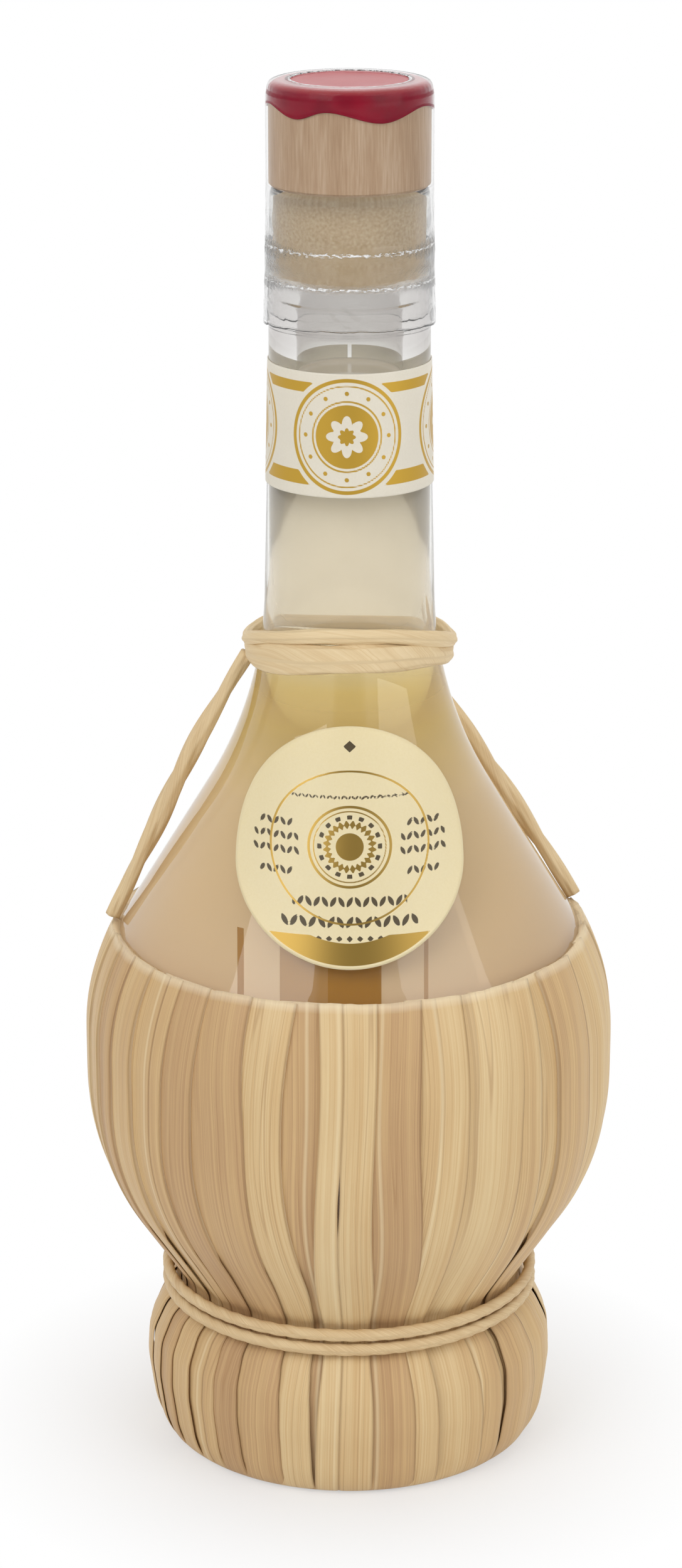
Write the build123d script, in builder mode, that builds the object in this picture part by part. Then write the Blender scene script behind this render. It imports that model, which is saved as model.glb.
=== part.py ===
from build123d import *
import os
from math import acos, asin, cos, degrees, hypot, pi, radians, sin, sqrt, tan

# A straw covered flask: a round bottomed glass bottle that stands in a basket of dried sedge
# strips, with a raffia carrying cord at its neck, a corked and waxed stopper and a clear film.
# Millimetres, +Z up, the front faces -Y, the origin is on the table under the middle of the foot.

# Fits that several pieces share
seat_gap = 0.3            # a soft or curved piece lies this far from what carries it
film_gap = 0.05           # under a glued label, and round what fills a cavity
cork_clearance = 0.1      # cork shank in the glass bore, and film over the glass, on the radius
cut_overrun = 2.0         # cutters run past what they cut

# Glass flask, outside
belly_radius = 49.4
flask_underside = 25.6    # height of the round bottom above the table
belly_side = 8.6          # upright stretch between the round bottom and the shoulder
shoulder_radius = 44.0
shoulder_slope = 31.3     # degrees from upright
throat_radius = 76.0
neck_radius = 15.0        # under the finish
neck_slope = 1.23         # degrees from upright
neck_height = 216.0
# Glass flask, the finish round the mouth
collar_foot = 5.6         # from the top of the measured neck up to the lower bead
collar_radius = 15.5
collar_step = 1.4
collar_height = 8.0
valley_radius = 15.05
bead_radius = 15.25
bead_height = 5.8
groove_radius = 14.75
groove_height = 1.2
flare_radius = 15.0
lip_radius = 14.6
lip_height = 10.6
lip_round = 0.9
# Glass flask, inside
bore_radius = 9.3
bore_depth = 21.0
bore_round = 0.5
neck_bore_radius = 9.8
glass_wall = 4.0
fill_drop = 3.5           # the liquid stands this far below neck_height

# Stopper
shank_length = 17.4
shank_bevel = 1.0
spigot_depth = 5.0        # shank glued into the head
head_radius = 14.85
head_height = 18.0
head_bevel = 0.5
head_top_round = 1.4
wax_side = 0.25
wax_top = 0.95
wax_low = 6.0             # the wax reaches this far down the head at its drips
wax_high = 4.1            # and this far between them
wax_drips = 6
film_thickness = 0.15
film_lip_inner = 9.2      # the film folds in over the wax and stops here
film_overlap = 0.4        # the film ends this far under the lower bead

# Labels
paper = 0.15
neck_label_drop = 0.8     # its top edge, below neck_height
neck_label_height = 23.0
neck_label_seam = 1.0
front_label_half_width = 21.2
front_label_widest = 41.9 # above the top of the belly's upright stretch
front_label_rise = 24.3
front_label_drop = 15.7

# Basket of sedge strips
strip_count = 36
strip_width = 9.4
strip_thickness = 0.4
strip_tilt = 9.0          # degrees, so that each strip laps over the next
strip_standoff = 1.05     # middle of a strip from the glass
basket_height = 104.6
leave_height = 47.5       # the strips leave the round bottom here
waist_height = 32.0
waist_band = 5.0          # upright stretch of the strips under the waist cord
waist_radius = 33.4
foot_height = 14.5
foot_radius = 39.4
sole_radius = 36.0
tuck_radius = 30.0
wrap_shares = (1.0, 0.92, 0.82, 0.69, 0.54, 0.38, 0.24, 0.11, 0.0)
flare_shares = ((0.84, 0.49), (0.66, 0.93))   # of the waist's height and of the flare
heel_shares = ((0.41, 0.65), (0.14, 0.26))    # of the foot's height and of the heel
tuck_low_share = 0.74     # the tuck's reach each way, of the angle between two strips
tuck_high_share = 0.19
# Straw ring under the round bottom
core_hole_radius = 12.0
core_gap = 0.1

# Cords
cord_sides = 8            # a cord's section has this many flat sides
waist_cord_width = 2.0
waist_cord_rise = 3.0     # between its two turns
waist_lead = 27.0         # degrees from the knot to where the tails touch the turns
waist_knot_radius = 2.6
waist_knot_half_height = 3.3
neck_cord_depth = 1.8
neck_cord_width = 3.6
neck_cord_rise = 4.3
neck_cord_drop = 57.6     # its lower turn, below neck_height
neck_lead = 38.0
neck_knot_radius = 2.6
neck_knot_half_height = 5.0
neck_knot_turn = -25.0    # degrees that the neck knot sits round from the back
knot_bevel = 1.2
knot_face_share = 0.7     # a cord's end butts on the knot this far out, of its radius
cross_half_angle = 15.0   # a cord steps down to its next turn over twice this angle
stay_width = 2.8
left_stay_route = (
    (-20.0, 0.4, 155.2),
    (-25.9, 0.2, 147.0),
    (-32.0, -0.3, 135.2),
    (-37.3, 0.1, 123.4),
    (-42.4, 0.6, 112.6),
    (-45.7, 0.3, 105.5),
)
right_stay_route = (
    (10.6, 21.6, 154.3),
    (16.4, 20.6, 146.0),
    (24.4, 17.4, 134.6),
    (31.8, 15.7, 124.0),
    (38.9, 14.0, 113.6),
    (44.0, 12.6, 105.5),
)
route_arc_share = 0.45    # of the shorter run beside a corner

os.makedirs("parts", exist_ok=True)

# What follows from the driving sizes
full_turn = 360           # degrees
half_turn, quarter_turn = full_turn / 2, full_turn / 4
slope, taper, tilt = radians(shoulder_slope), radians(neck_slope), radians(strip_tilt)
belly_middle = flask_underside + belly_radius
belly_top = belly_middle + belly_side
collar_base = neck_height + collar_foot
bead_base = collar_base + collar_height
groove_base = bead_base + bead_height
flare_base = groove_base + groove_height
lip_top = flare_base + lip_height
bore_base = lip_top - bore_depth
shank_radius = bore_radius - cork_clearance
head_base = lip_top
head_top = head_base + head_height
wax_outer = head_radius + wax_side
wax_summit = head_top + wax_top
fill_height = neck_height - fill_drop
neck_label_top = neck_height - neck_label_drop
neck_cord_height = neck_height - neck_cord_drop
strip_pitch = full_turn / strip_count


def throat_ends(grow, throat, neck, lean):
    """Ends of the throat arc, for a wall moved out by grow.

    throat is the arc's radius, neck the neck's radius at neck_height, lean its angle from upright.
    """
    arc = shoulder_radius + grow
    top_radius = belly_radius + grow - arc * (1 - cos(slope))
    top_height = belly_top + arc * sin(slope)
    fall = throat * (cos(lean) - cos(slope))
    rise = throat * (sin(slope) - sin(lean))
    reach = top_radius + tan(slope) * top_height - fall - neck - tan(lean) * (neck_height - rise)
    low_height = reach / (tan(slope) - tan(lean))
    low_radius = top_radius - tan(slope) * (low_height - top_height)
    return (low_radius, low_height), (low_radius - fall, low_height + rise)


def draw_wall(grow, throat, neck, lean):
    """Half outline of the flask from its round bottom to the top of the throat arc."""
    CenterArc((0, belly_middle), belly_radius + grow, -quarter_turn, quarter_turn)
    upright = Line((belly_radius + grow, belly_middle), (belly_radius + grow, belly_top))
    turn = JernArc(upright @ 1, (0, 1), shoulder_radius + grow, shoulder_slope)
    side = Line(turn @ 1, throat_ends(grow, throat, neck, lean)[0])
    return JernArc(side @ 1, side % 1, throat, degrees(lean) - shoulder_slope)


def wall_radius(height):
    """Outside radius of the glass at a height between its round bottom and its finish."""
    low, high = throat_ends(0, throat_radius, neck_radius, taper)
    if height < belly_middle:
        return sqrt(belly_radius**2 - (belly_middle - height) ** 2)
    if height < belly_top:
        return belly_radius
    if height < belly_top + shoulder_radius * sin(slope):
        lift = asin((height - belly_top) / shoulder_radius)
        return belly_radius - shoulder_radius * (1 - cos(lift))
    if height < low[1]:
        return low[0] + tan(slope) * (low[1] - height)
    if height < high[1]:
        lean = asin(sin(slope) - (height - low[1]) / throat_radius)
        return low[0] - throat_radius * (cos(lean) - cos(slope))
    return neck_radius + tan(taper) * (neck_height - height)


# Glass flask: outer form less the cavity
with BuildPart() as glass_flask:
    with BuildSketch(Plane.XZ):
        with BuildLine():
            throat = draw_wall(0, throat_radius, neck_radius, taper)
            collar = Polyline(
                throat @ 1,
                (neck_radius, neck_height),
                (neck_radius, collar_base),
                (collar_radius, collar_base + collar_step),
                (valley_radius, bead_base),
            )
            bead = ThreePointArc(
                collar @ 1, (bead_radius, bead_base + bead_height / 2), (groove_radius, groove_base)
            )
            finish = Polyline(
                bead @ 1,
                (flare_radius, flare_base),
                (lip_radius, lip_top - lip_round),
                (lip_radius - lip_round, lip_top),
                (0, lip_top),
            )
            Line(finish @ 1, (0, flask_underside))
        make_face()
    revolve(axis=Axis.Z)
    with BuildSketch(Plane.XZ):
        with BuildLine():
            throat = draw_wall(-glass_wall, throat_radius + glass_wall, neck_bore_radius, 0)
            mouth = Polyline(
                throat @ 1,
                (neck_bore_radius, bore_base - (neck_bore_radius - bore_radius)),
                (bore_radius, bore_base),
                (bore_radius, lip_top - bore_round),
                (bore_radius + bore_round, lip_top),
                (bore_radius + bore_round, lip_top + cut_overrun),
                (0, lip_top + cut_overrun),
            )
            Line(mouth @ 1, (0, flask_underside + glass_wall))
        make_face()
    revolve(axis=Axis.Z, mode=Mode.SUBTRACT)
glass_flask.part.label = "glass_flask"
export_step(glass_flask.part, "parts/glass_flask.step")

# What the bottle holds, up to its fill height
with BuildPart() as liquid:
    inset = glass_wall + film_gap
    with BuildSketch(Plane.XZ):
        with BuildLine():
            throat = draw_wall(-inset, throat_radius + inset, neck_bore_radius - film_gap, 0)
            level = Polyline(throat @ 1, (neck_bore_radius - film_gap, fill_height), (0, fill_height))
            Line(level @ 1, (0, flask_underside + inset))
        make_face()
    revolve(axis=Axis.Z)
liquid.part.label = "liquid"
export_step(liquid.part, "parts/liquid.step")

# Cork shank, glued into the head
with BuildPart() as stopper_shank:
    with BuildSketch(Plane.XY.offset(shank_base := head_base - shank_length)):
        Circle(shank_radius)
    extrude(amount=shank_length + spigot_depth)
    chamfer(stopper_shank.faces().sort_by(Axis.Z)[0].edges(), shank_bevel)
stopper_shank.part.label = "stopper_shank"
export_step(stopper_shank.part, "parts/stopper_shank.step")

# Turned wooden head
with BuildPart() as stopper_head:
    with BuildSketch(Plane.XY.offset(head_base)):
        Circle(head_radius)
    extrude(amount=head_height)
    chamfer(stopper_head.faces().sort_by(Axis.Z)[0].edges(), head_bevel)
    fillet(stopper_head.faces().sort_by(Axis.Z)[-1].edges(), head_top_round)
    with BuildSketch(Plane.XY.offset(head_base)):
        Circle(shank_radius + film_gap)
    extrude(amount=spigot_depth, mode=Mode.SUBTRACT)
stopper_head.part.label = "stopper_head"
export_step(stopper_head.part, "parts/stopper_head.step")

# One of the gaps between the wax drips, cut outwards through the skirt
with BuildPart() as drip_gap:
    half_span = wax_outer * sin(pi / wax_drips)
    skirt_base = head_top - wax_low
    with BuildSketch(Plane.XZ.offset(wax_outer / 2)):
        with BuildLine():
            edge = Spline(
                (-half_span, skirt_base),
                (0, head_top - wax_high),
                (half_span, skirt_base),
                tangents=((1, 0), (1, 0)),
            )
            Polyline(
                edge @ 1,
                (half_span, skirt_base - cut_overrun),
                (-half_span, skirt_base - cut_overrun),
                edge @ 0,
            )
        make_face()
    extrude(amount=wax_outer)

# Dipped wax: a thin cap with a dripped lower edge
with BuildPart() as wax_seal:
    with BuildSketch(Plane.XY.offset(head_top - wax_low)):
        Circle(wax_outer)
    extrude(amount=wax_low + wax_top)
    fillet(wax_seal.faces().sort_by(Axis.Z)[-1].edges(), head_top_round + wax_side)
    add(stopper_head.part, mode=Mode.SUBTRACT)
    with PolarLocations(0, wax_drips):
        add(drip_gap.part, mode=Mode.SUBTRACT)
wax_seal.part.label = "wax_seal"
export_step(wax_seal.part, "parts/wax_seal.step")

# Clear film over the head and the finish. Below the head it only widens downwards, over each
# bead, so it lifts off with the stopper.
with BuildPart() as shrink_sleeve:
    film_inner = wax_outer + film_gap
    over_bead = bead_radius + cork_clearance
    over_collar = collar_radius + cork_clearance
    film_round = head_top_round + wax_side + film_gap
    with BuildSketch(Plane.XZ):
        with BuildLine():
            inner = Polyline(
                (over_collar, collar_base - film_overlap),
                (over_collar, collar_base + 2 * collar_step),
                (over_bead, bead_base),
                (over_bead, groove_base),
                (film_inner, flare_base),
                (film_inner, wax_summit + film_gap - film_round),
            )
            turn = JernArc(inner @ 1, (0, 1), film_round, quarter_turn)
            Line(turn @ 1, (film_lip_inner, wax_summit + film_gap))
            offset(amount=film_thickness, side=Side.RIGHT)
        make_face()
    revolve(axis=Axis.Z)
shrink_sleeve.part.label = "shrink_sleeve"
export_step(shrink_sleeve.part, "parts/shrink_sleeve.step")

# Paper band round the neck, butted at the back
with BuildPart() as neck_label:
    neck_label_base = neck_label_top - neck_label_height
    low_under = wall_radius(neck_label_base) + film_gap
    top_under = wall_radius(neck_label_top) + film_gap
    with BuildSketch(Plane.XZ):
        with BuildLine():
            Polyline(
                (low_under, neck_label_base),
                (low_under + paper, neck_label_base),
                (top_under + paper, neck_label_top),
                (top_under, neck_label_top),
                close=True,
            )
        make_face()
    revolve(axis=Axis.Z)
    with BuildSketch(Plane.XZ.offset(-low_under - cut_overrun)):
        with Locations((0, neck_label_base + neck_label_height / 2)):
            Rectangle(neck_label_seam, neck_label_height + cut_overrun)
    extrude(amount=low_under, mode=Mode.SUBTRACT)
neck_label.part.label = "neck_label"
export_step(neck_label.part, "parts/neck_label.step")

# Egg shaped paper label, laid on the shoulder
with BuildPart() as front_label:
    for grow, kind in ((film_gap + paper, Mode.ADD), (film_gap, Mode.SUBTRACT)):
        with BuildSketch(Plane.XZ):
            with BuildLine():
                wall = draw_wall(grow, throat_radius - grow, neck_radius + grow, taper)
                Polyline(wall @ 1, (0, (wall @ 1).Y), (0, flask_underside - grow))
            make_face()
        revolve(axis=Axis.Z, mode=kind)
    with BuildSketch(Plane.XZ):
        with BuildLine():
            centre = (0, belly_top + front_label_widest)
            EllipticalCenterArc(
                centre, front_label_half_width, front_label_rise, start_angle=0, arc_size=half_turn
            )
            EllipticalCenterArc(
                centre, front_label_half_width, front_label_drop, start_angle=half_turn, arc_size=half_turn
            )
        make_face()
    extrude(amount=belly_radius + cut_overrun, mode=Mode.INTERSECT)
front_label.part.label = "front_label"
export_step(front_label.part, "parts/front_label.step")

# Middle line of a sedge strip, from the rim down to the sole, as (radius, height)
wrap = basket_height - leave_height
strip_line = [
    (wall_radius(leave_height + share * wrap) + strip_standoff, leave_height + share * wrap)
    for share in wrap_shares
]
strip_line.append((waist_radius, waist_height + waist_band / 2))
strip_line.append((waist_radius, waist_height - waist_band / 2))
strip_line += [
    (waist_radius + out * (foot_radius - waist_radius), up * waist_height)
    for up, out in flare_shares
]
strip_line.append((foot_radius, foot_height))
strip_line += [
    (sole_radius + out * (foot_radius - sole_radius), up * foot_height) for up, out in heel_shares
]
strip_line.append((sole_radius, 0))


def polar(radius, share):
    """A point on the table at a share of the angle between two strips."""
    angle = radians(share * strip_pitch)
    return (radius * cos(angle), radius * sin(angle))


# First sedge strip: a band bent only along its length, tilted to lap over the next one, with its
# end tucked under the sole between the ends of its neighbours
with BuildPart() as first_strip:
    half = strip_thickness / 2
    with BuildSketch(Plane.XZ):
        with BuildLine():
            outside = [(radius + half, height) for radius, height in strip_line]
            inside = [(radius - half, height) for radius, height in reversed(strip_line)]
            Polyline(*outside, *inside, close=True)
        make_face()
    extrude(amount=strip_width / 2, dir=(sin(tilt), cos(tilt), 0), both=True)
    with BuildSketch(Plane.XY):
        Polygon(
            polar(tuck_radius, -tuck_low_share),
            polar(sole_radius - strip_thickness, -tuck_low_share),
            polar(sole_radius + half, tuck_high_share),
            polar(tuck_radius, tuck_high_share),
            align=None,
        )
    extrude(amount=strip_thickness)

for number in range(strip_count):
    with BuildPart() as straw_strip:
        with Locations(Location((0, 0, 0), (0, 0, number * strip_pitch))):
            add(first_strip.part)
    name = f"straw_strip_{number + 1:02d}"
    straw_strip.part.label = name
    export_step(straw_strip.part, f"parts/{name}.step")


def strip_faces(radius):
    """Nearest and farthest reach from the axis of the ring of strips, where its middle line is."""
    reach, side = strip_width / 2 * sin(tilt), strip_width / 2 * cos(tilt)
    return hypot(radius - reach, side) - half, hypot(radius + reach, side) + half


# Coarse straw ring that carries the round bottom inside the foot
with BuildPart() as foot_core:
    core_line = strip_line[len(wrap_shares):-1]
    core_top = core_line[0][1]
    core_base = strip_thickness + core_gap
    cradle = belly_radius + seat_gap
    low_angle = -degrees(acos(core_hole_radius / cradle))
    high_angle = -degrees(asin((belly_middle - core_top) / cradle))
    with BuildSketch(Plane.XZ):
        with BuildLine():
            bed = CenterArc((0, belly_middle), cradle, low_angle, high_angle - low_angle)
            Polyline(
                bed @ 1,
                *[(strip_faces(radius)[0] - seat_gap, height) for radius, height in core_line],
                (strip_faces(sole_radius)[0] - seat_gap, core_base),
                (core_hole_radius, core_base),
                bed @ 0,
            )
        make_face()
    revolve(axis=Axis.Z)
foot_core.part.label = "foot_core"
export_step(foot_core.part, "parts/foot_core.step")


def place(angle, radius, height):
    """A point by its angle round the axis, its radius and its height."""
    return Vector(radius * cos(radians(angle)), radius * sin(radians(angle)), height)


def draw_winding(radius, low, rise, lead, turn, knot_face):
    """Two turns round the axis as one unbroken line, from its knot and back to it.

    Both turns are level. The line steps down to the second one under the knot, along two arcs
    that meet in line at hypot(radius, rise / 2). Its two tails leave the turns along straight
    tangents that meet at the knot, lead degrees further on.
    """
    back = quarter_turn + turn
    round_angle = half_turn - (lead + cross_half_angle) / 2
    middle = place(back, hypot(radius, rise / 2), low + rise / 2)
    knot_reach = radius / cos(radians(lead))
    touch = place(back - lead, radius, low + rise)
    toward = (touch - place(back, knot_reach, low + rise)).normalized()
    Line(place(back, knot_reach, low + rise) + toward * knot_face, touch)
    CenterArc((0, 0, low + rise), radius, back - lead, -round_angle)
    CenterArc((0, 0, low + rise), radius, back - lead - round_angle, -round_angle)
    level = place(back + cross_half_angle - quarter_turn, 1, 0)
    step = TangentArc(
        place(back + cross_half_angle, radius, low + rise), middle, tangent=level
    )
    TangentArc(step @ 1, place(back - cross_half_angle, radius, low), tangent=step % 1)
    CenterArc((0, 0, low), radius, back - cross_half_angle, -round_angle)
    CenterArc((0, 0, low), radius, back - cross_half_angle - round_angle, -round_angle)
    leave = place(back + lead, radius, low)
    away = (leave - place(back, knot_reach, low)).normalized()
    Line(leave, place(back, knot_reach, low) + away * knot_face)


def draw_section(width, depth):
    """Flat sided section of a cord, with sides across its width and across its depth."""
    half_side = pi / cord_sides
    corners = [half_side * (2 * side + 1) for side in range(cord_sides)]
    reach_x, reach_y = width / 2 / cos(half_side), depth / 2 / cos(half_side)
    Polygon(*[(reach_x * cos(turn), reach_y * sin(turn)) for turn in corners], align=None)


def least_gap(line, depth, width):
    """Least gap of a winding to itself, from points along it, for an elliptical section."""
    count = 360
    points = [line.position_at(step / count) for step in range(count + 1)]
    apart = count // 6
    gap = line.length
    for first in range(count + 1):
        for second in range(first + apart, count + 1):
            flat = hypot(points[first].X - points[second].X, points[first].Y - points[second].Y)
            rise = abs(points[first].Z - points[second].Z)
            touching = hypot(flat / depth, rise / width)
            gap = min(gap, hypot(flat, rise) * (1 - 1 / touching))
    return gap


def knot(centre, radius, half_height, ends):
    """A lump of tied raffia, cut flat where the cord's ends butt on it."""
    with BuildPart() as tied:
        with BuildSketch(Plane.XY.offset(centre.Z - half_height)):
            with Locations((centre.X, centre.Y)):
                Circle(radius)
        extrude(amount=2 * half_height)
        chamfer(tied.faces().sort_by(Axis.Z)[0].edges(), knot_bevel)
        chamfer(tied.faces().sort_by(Axis.Z)[-1].edges(), knot_bevel)
        for end in ends:
            split(bisect_by=end, keep=Keep.TOP)
    return tied


def wind(name, radius, low, rise, lead, turn, depth, width, knot_radius, knot_half_height):
    """Makes a two turn cord and its knot."""
    knot_face = knot_radius * knot_face_share
    with BuildPart() as cord:
        with BuildLine() as route:
            draw_winding(radius, low, rise, lead, turn, knot_face)
        path = route.wires()[0]
        with BuildSketch(Plane(path @ 0, x_dir=(0, 0, 1), z_dir=path % 0)) as end:
            draw_section(width, depth)
        sweep(path=path)
    cord.part.label = f"{name}_cord"
    export_step(cord.part, f"parts/{name}_cord.step")
    section = end.sketch.area
    print(name, "cord length", path.length, "volume", cord.part.volume, section * path.length)
    print(name, "cord least gap to itself", least_gap(path, depth, width))
    ends = [Plane(path @ 0, z_dir=-(path % 0)), Plane(path @ 1, z_dir=path % 1)]
    centre = place(quarter_turn + turn, radius / cos(radians(lead)), low + rise / 2)
    tied = knot(centre, knot_radius, knot_half_height, ends)
    tied.part.label = f"{name}_knot"
    export_step(tied.part, f"parts/{name}_knot.step")


# Cord round the waist of the basket, two turns
wind(
    "waist",
    strip_faces(waist_radius)[1] + seat_gap + waist_cord_width / 2,
    waist_height - waist_cord_rise / 2,
    waist_cord_rise,
    waist_lead,
    0,
    waist_cord_width,
    waist_cord_width,
    waist_knot_radius,
    waist_knot_half_height,
)

# Flat raffia round the neck, two turns
wind(
    "neck",
    wall_radius(neck_cord_height - neck_cord_width / 2) + seat_gap + neck_cord_depth / 2,
    neck_cord_height,
    neck_cord_rise,
    neck_lead,
    neck_knot_turn,
    neck_cord_depth,
    neck_cord_width,
    neck_knot_radius,
    neck_knot_half_height,
)


def route_radii(points):
    """One arc radius for each corner of a route, from its shorter run and half its turn."""
    radii = []
    for before, corner, after in zip(points, points[1:], points[2:]):
        run_in, run_out = Vector(corner) - Vector(before), Vector(after) - Vector(corner)
        half_bend = radians(run_in.get_angle(run_out)) / 2
        radii.append(route_arc_share * min(run_in.length, run_out.length) / tan(half_bend))
    return radii


# Carrying cord: the two stays that run from the neck down to the rim
for name, points in (("left_stay", left_stay_route), ("right_stay", right_stay_route)):
    radii = route_radii(points)
    with BuildPart() as stay:
        with BuildLine() as route:
            FilletPolyline(*points, radius=radii)
        path = route.wires()[0]
        with BuildSketch(Plane(path @ 0, z_dir=path % 0)) as end:
            draw_section(stay_width, stay_width)
        sweep(path=path)
    stay.part.label = name
    export_step(stay.part, f"parts/{name}.step")
    print(name, "radii", [round(radius) for radius in radii], "length", path.length)
    print(name, "volume", stay.part.volume, end.sketch.area * path.length)
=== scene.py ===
"""Looks of the straw covered flask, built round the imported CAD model.

Shapes are worked out in millimetres and turn to metres when their mesh is made. Materials read
metres, or millimetres from an attribute. +Z is up and the front faces -Y. The tables give angles
in degrees from the front, positive towards +X, and the formulas in radians from +X.
"""

import bpy
import numpy as np
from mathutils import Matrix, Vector


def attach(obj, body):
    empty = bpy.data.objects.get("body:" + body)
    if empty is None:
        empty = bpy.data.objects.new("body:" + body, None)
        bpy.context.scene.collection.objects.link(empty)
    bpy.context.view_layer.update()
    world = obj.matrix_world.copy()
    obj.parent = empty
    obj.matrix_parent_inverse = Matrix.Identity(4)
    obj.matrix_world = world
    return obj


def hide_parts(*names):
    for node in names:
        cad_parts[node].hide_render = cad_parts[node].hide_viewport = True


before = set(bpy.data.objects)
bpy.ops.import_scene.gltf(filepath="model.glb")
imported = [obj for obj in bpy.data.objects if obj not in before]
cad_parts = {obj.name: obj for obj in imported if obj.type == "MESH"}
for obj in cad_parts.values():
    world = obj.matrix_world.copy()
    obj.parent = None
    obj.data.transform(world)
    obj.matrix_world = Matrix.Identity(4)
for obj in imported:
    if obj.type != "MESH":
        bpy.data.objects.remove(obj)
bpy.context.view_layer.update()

MM = 0.001
AROUND = np.linspace(0, 2 * np.pi, 176, endpoint=False)     # angles round a turned piece

# Meshes


def grid_faces(rows, columns, wrap_rows=False):
    """Quads between neighbouring points of a grid, closed round its columns, and its rows if asked."""
    down = rows if wrap_rows else rows - 1
    row, column = np.meshgrid(np.arange(down), np.arange(columns), indexing="ij")
    below, beside = (row + 1) % rows, (column + 1) % columns
    corners = [row * columns + column, row * columns + beside,
               below * columns + beside, below * columns + column]
    return np.stack(corners, -1).reshape(-1, 4)


def new_object(name, data):
    """An object with the data, in the scene."""
    made = bpy.data.objects.new(name, data)
    bpy.context.scene.collection.objects.link(made)
    return made


def make_piece(name, points, faces, facts, material, node, slot, body="bottle", tone=None):
    """A mesh of points, in millimetres, and faces that rides on a body and replaces a node.

    The points, and each of the facts, which become their attributes, come as a list of parts.
    tone is a fact with one value for the whole piece.
    """
    points = np.vstack(points)
    if tone is not None:
        facts = {**facts, "tone": [np.full((len(points), 1), tone)]}
    mesh = bpy.data.meshes.new(name)
    mesh.from_pydata((points * MM).tolist(), [], faces)
    mesh.validate()
    mesh.polygons.foreach_set("use_smooth", np.ones(len(mesh.polygons), bool))
    for key, parts in facts.items():
        values = np.vstack(parts)
        kind, field = ("FLOAT", "value") if values.shape[1] == 1 else ("FLOAT_VECTOR", "vector")
        mesh.attributes.new(key, kind, "POINT").data.foreach_set(field, values.ravel())
    mesh.materials.append(material)
    mesh.update()
    piece = new_object(name, mesh)
    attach(piece, body)
    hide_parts(node)
    return piece


def ring_piece(name, grid, material, node, slot, poles=(), wrap_rows=False, facts=None, **said):
    """A surface from a grid of points whose rows are rings.

    Its rows close into a loop, or two poles close its first and its last ring, each with a fan
    of triangles to one point. facts hold a value for each point, and a pole takes its ring's mean.
    """
    rows, columns = grid.shape[:2]
    count = rows * columns
    points = [grid.reshape(-1, 3)]
    faces = grid_faces(rows, columns, wrap_rows).tolist()
    facts = {key: [values.reshape(count, -1)] for key, values in (facts or {}).items()}
    for end, pole in enumerate(poles):
        ring = np.arange(columns) + (rows - 1) * columns * end
        fan = [ring, np.roll(ring, -1)] if end else [np.roll(ring, -1), ring]
        faces += np.stack([*fan, np.full(columns, count + end)], -1).tolist()
        points.append([pole])
        for values in facts.values():
            values.append(values[0][ring].mean(0, keepdims=True))
    return make_piece(name, points, faces, facts, material, node, slot, **said)


def tube_piece(name, tubes, material, node, slot, way=1, **said):
    """One piece of closed tubes, each a grid of points whose rows are rings, and its facts.

    A flat face closes each end. way is -1 where the rings run the other way round.
    """
    points, faces, facts, base = [], [], {}, 0
    for grid, known in tubes:
        rows, columns = grid.shape[:2]
        ring = np.arange(columns) + base
        faces += (grid_faces(rows, columns)[:, ::way] + base).tolist()
        faces += [ring[::-way].tolist(), (ring[::way] + (rows - 1) * columns).tolist()]
        points.append(grid.reshape(-1, 3))
        for key, values in known.items():
            facts.setdefault(key, []).append(values.reshape(rows * columns, -1))
        base += rows * columns
    return make_piece(name, points, faces, facts, material, node, slot, **said)


def round_axis(radius, angle, height):
    """Points at a radius from the bottle's axis, at an angle in radians from +X, and at a height."""
    return np.stack(np.broadcast_arrays(radius * np.cos(angle), radius * np.sin(angle), height), -1)


def turned(name, profile, material, node, slot, **said):
    """A surface of revolution: each (radius, height) of the profile goes round the axis.

    The profile starts and ends on the axis, and goes up its outside.
    """
    profile = np.asarray(profile, float)
    grid = round_axis(profile[1:-1, :1], AROUND, profile[1:-1, 1:])
    ends = [(0, 0, height) for height in profile[[0, -1], 1]]
    return ring_piece(name, grid, material, node, slot, poles=ends, **said)


# Lines


def bow(centre, radius, start, end, steps):
    """Points along a circle from one angle to another, in degrees."""
    angle = np.radians(np.linspace(start, end, steps))
    return np.stack([centre[0] + radius * np.cos(angle), centre[1] + radius * np.sin(angle)], -1)


def unit(vectors):
    """The same directions with a length of one."""
    return vectors / np.linalg.norm(vectors, axis=1, keepdims=True)


def distances(line):
    """How far along a line each of its points lies."""
    return np.concatenate([[0], np.cumsum(np.linalg.norm(np.diff(line, axis=0), axis=1))])


def resample(points, step):
    """The same line with points a step apart."""
    points = np.asarray(points, float)
    along = distances(points)
    places = np.linspace(0, along[-1], max(int(round(along[-1] / step)), 2) + 1)
    return np.stack([np.interp(places, along, values) for values in points.T], -1)


def blurred(line, blur):
    """Each row becomes a mean of its neighbours, weighted exp(-distance squared / 2 blur squared).

    Both ends are mirrored through themselves, so they stay where they are.
    """
    reach = min(int(np.ceil(3 * blur)), len(line) - 1)
    before = 2 * line[0] - line[reach:0:-1]
    after = 2 * line[-1] - line[-2:-reach - 2:-1]
    padded = np.vstack([before, line, after])
    weight = np.exp(-0.5 * (np.arange(-reach, reach + 1) / blur) ** 2)
    weight /= weight.sum()
    return np.stack([np.convolve(values, weight, "valid") for values in padded.T], -1)


def soften(points, step, blur):
    """Resamples a line, then rounds its corners over a length of about blur."""
    return blurred(resample(points, step), blur / step)


def smooth_step(value):
    """0 below 0, 1 above 1, and 3 v v - 2 v v v between."""
    value = np.clip(value, 0, 1)
    return value * value * (3 - 2 * value)


def bell(value, middle, width):
    """exp(-((value - middle) / width) squared)."""
    return np.exp(-((value - middle) / width) ** 2)


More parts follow.
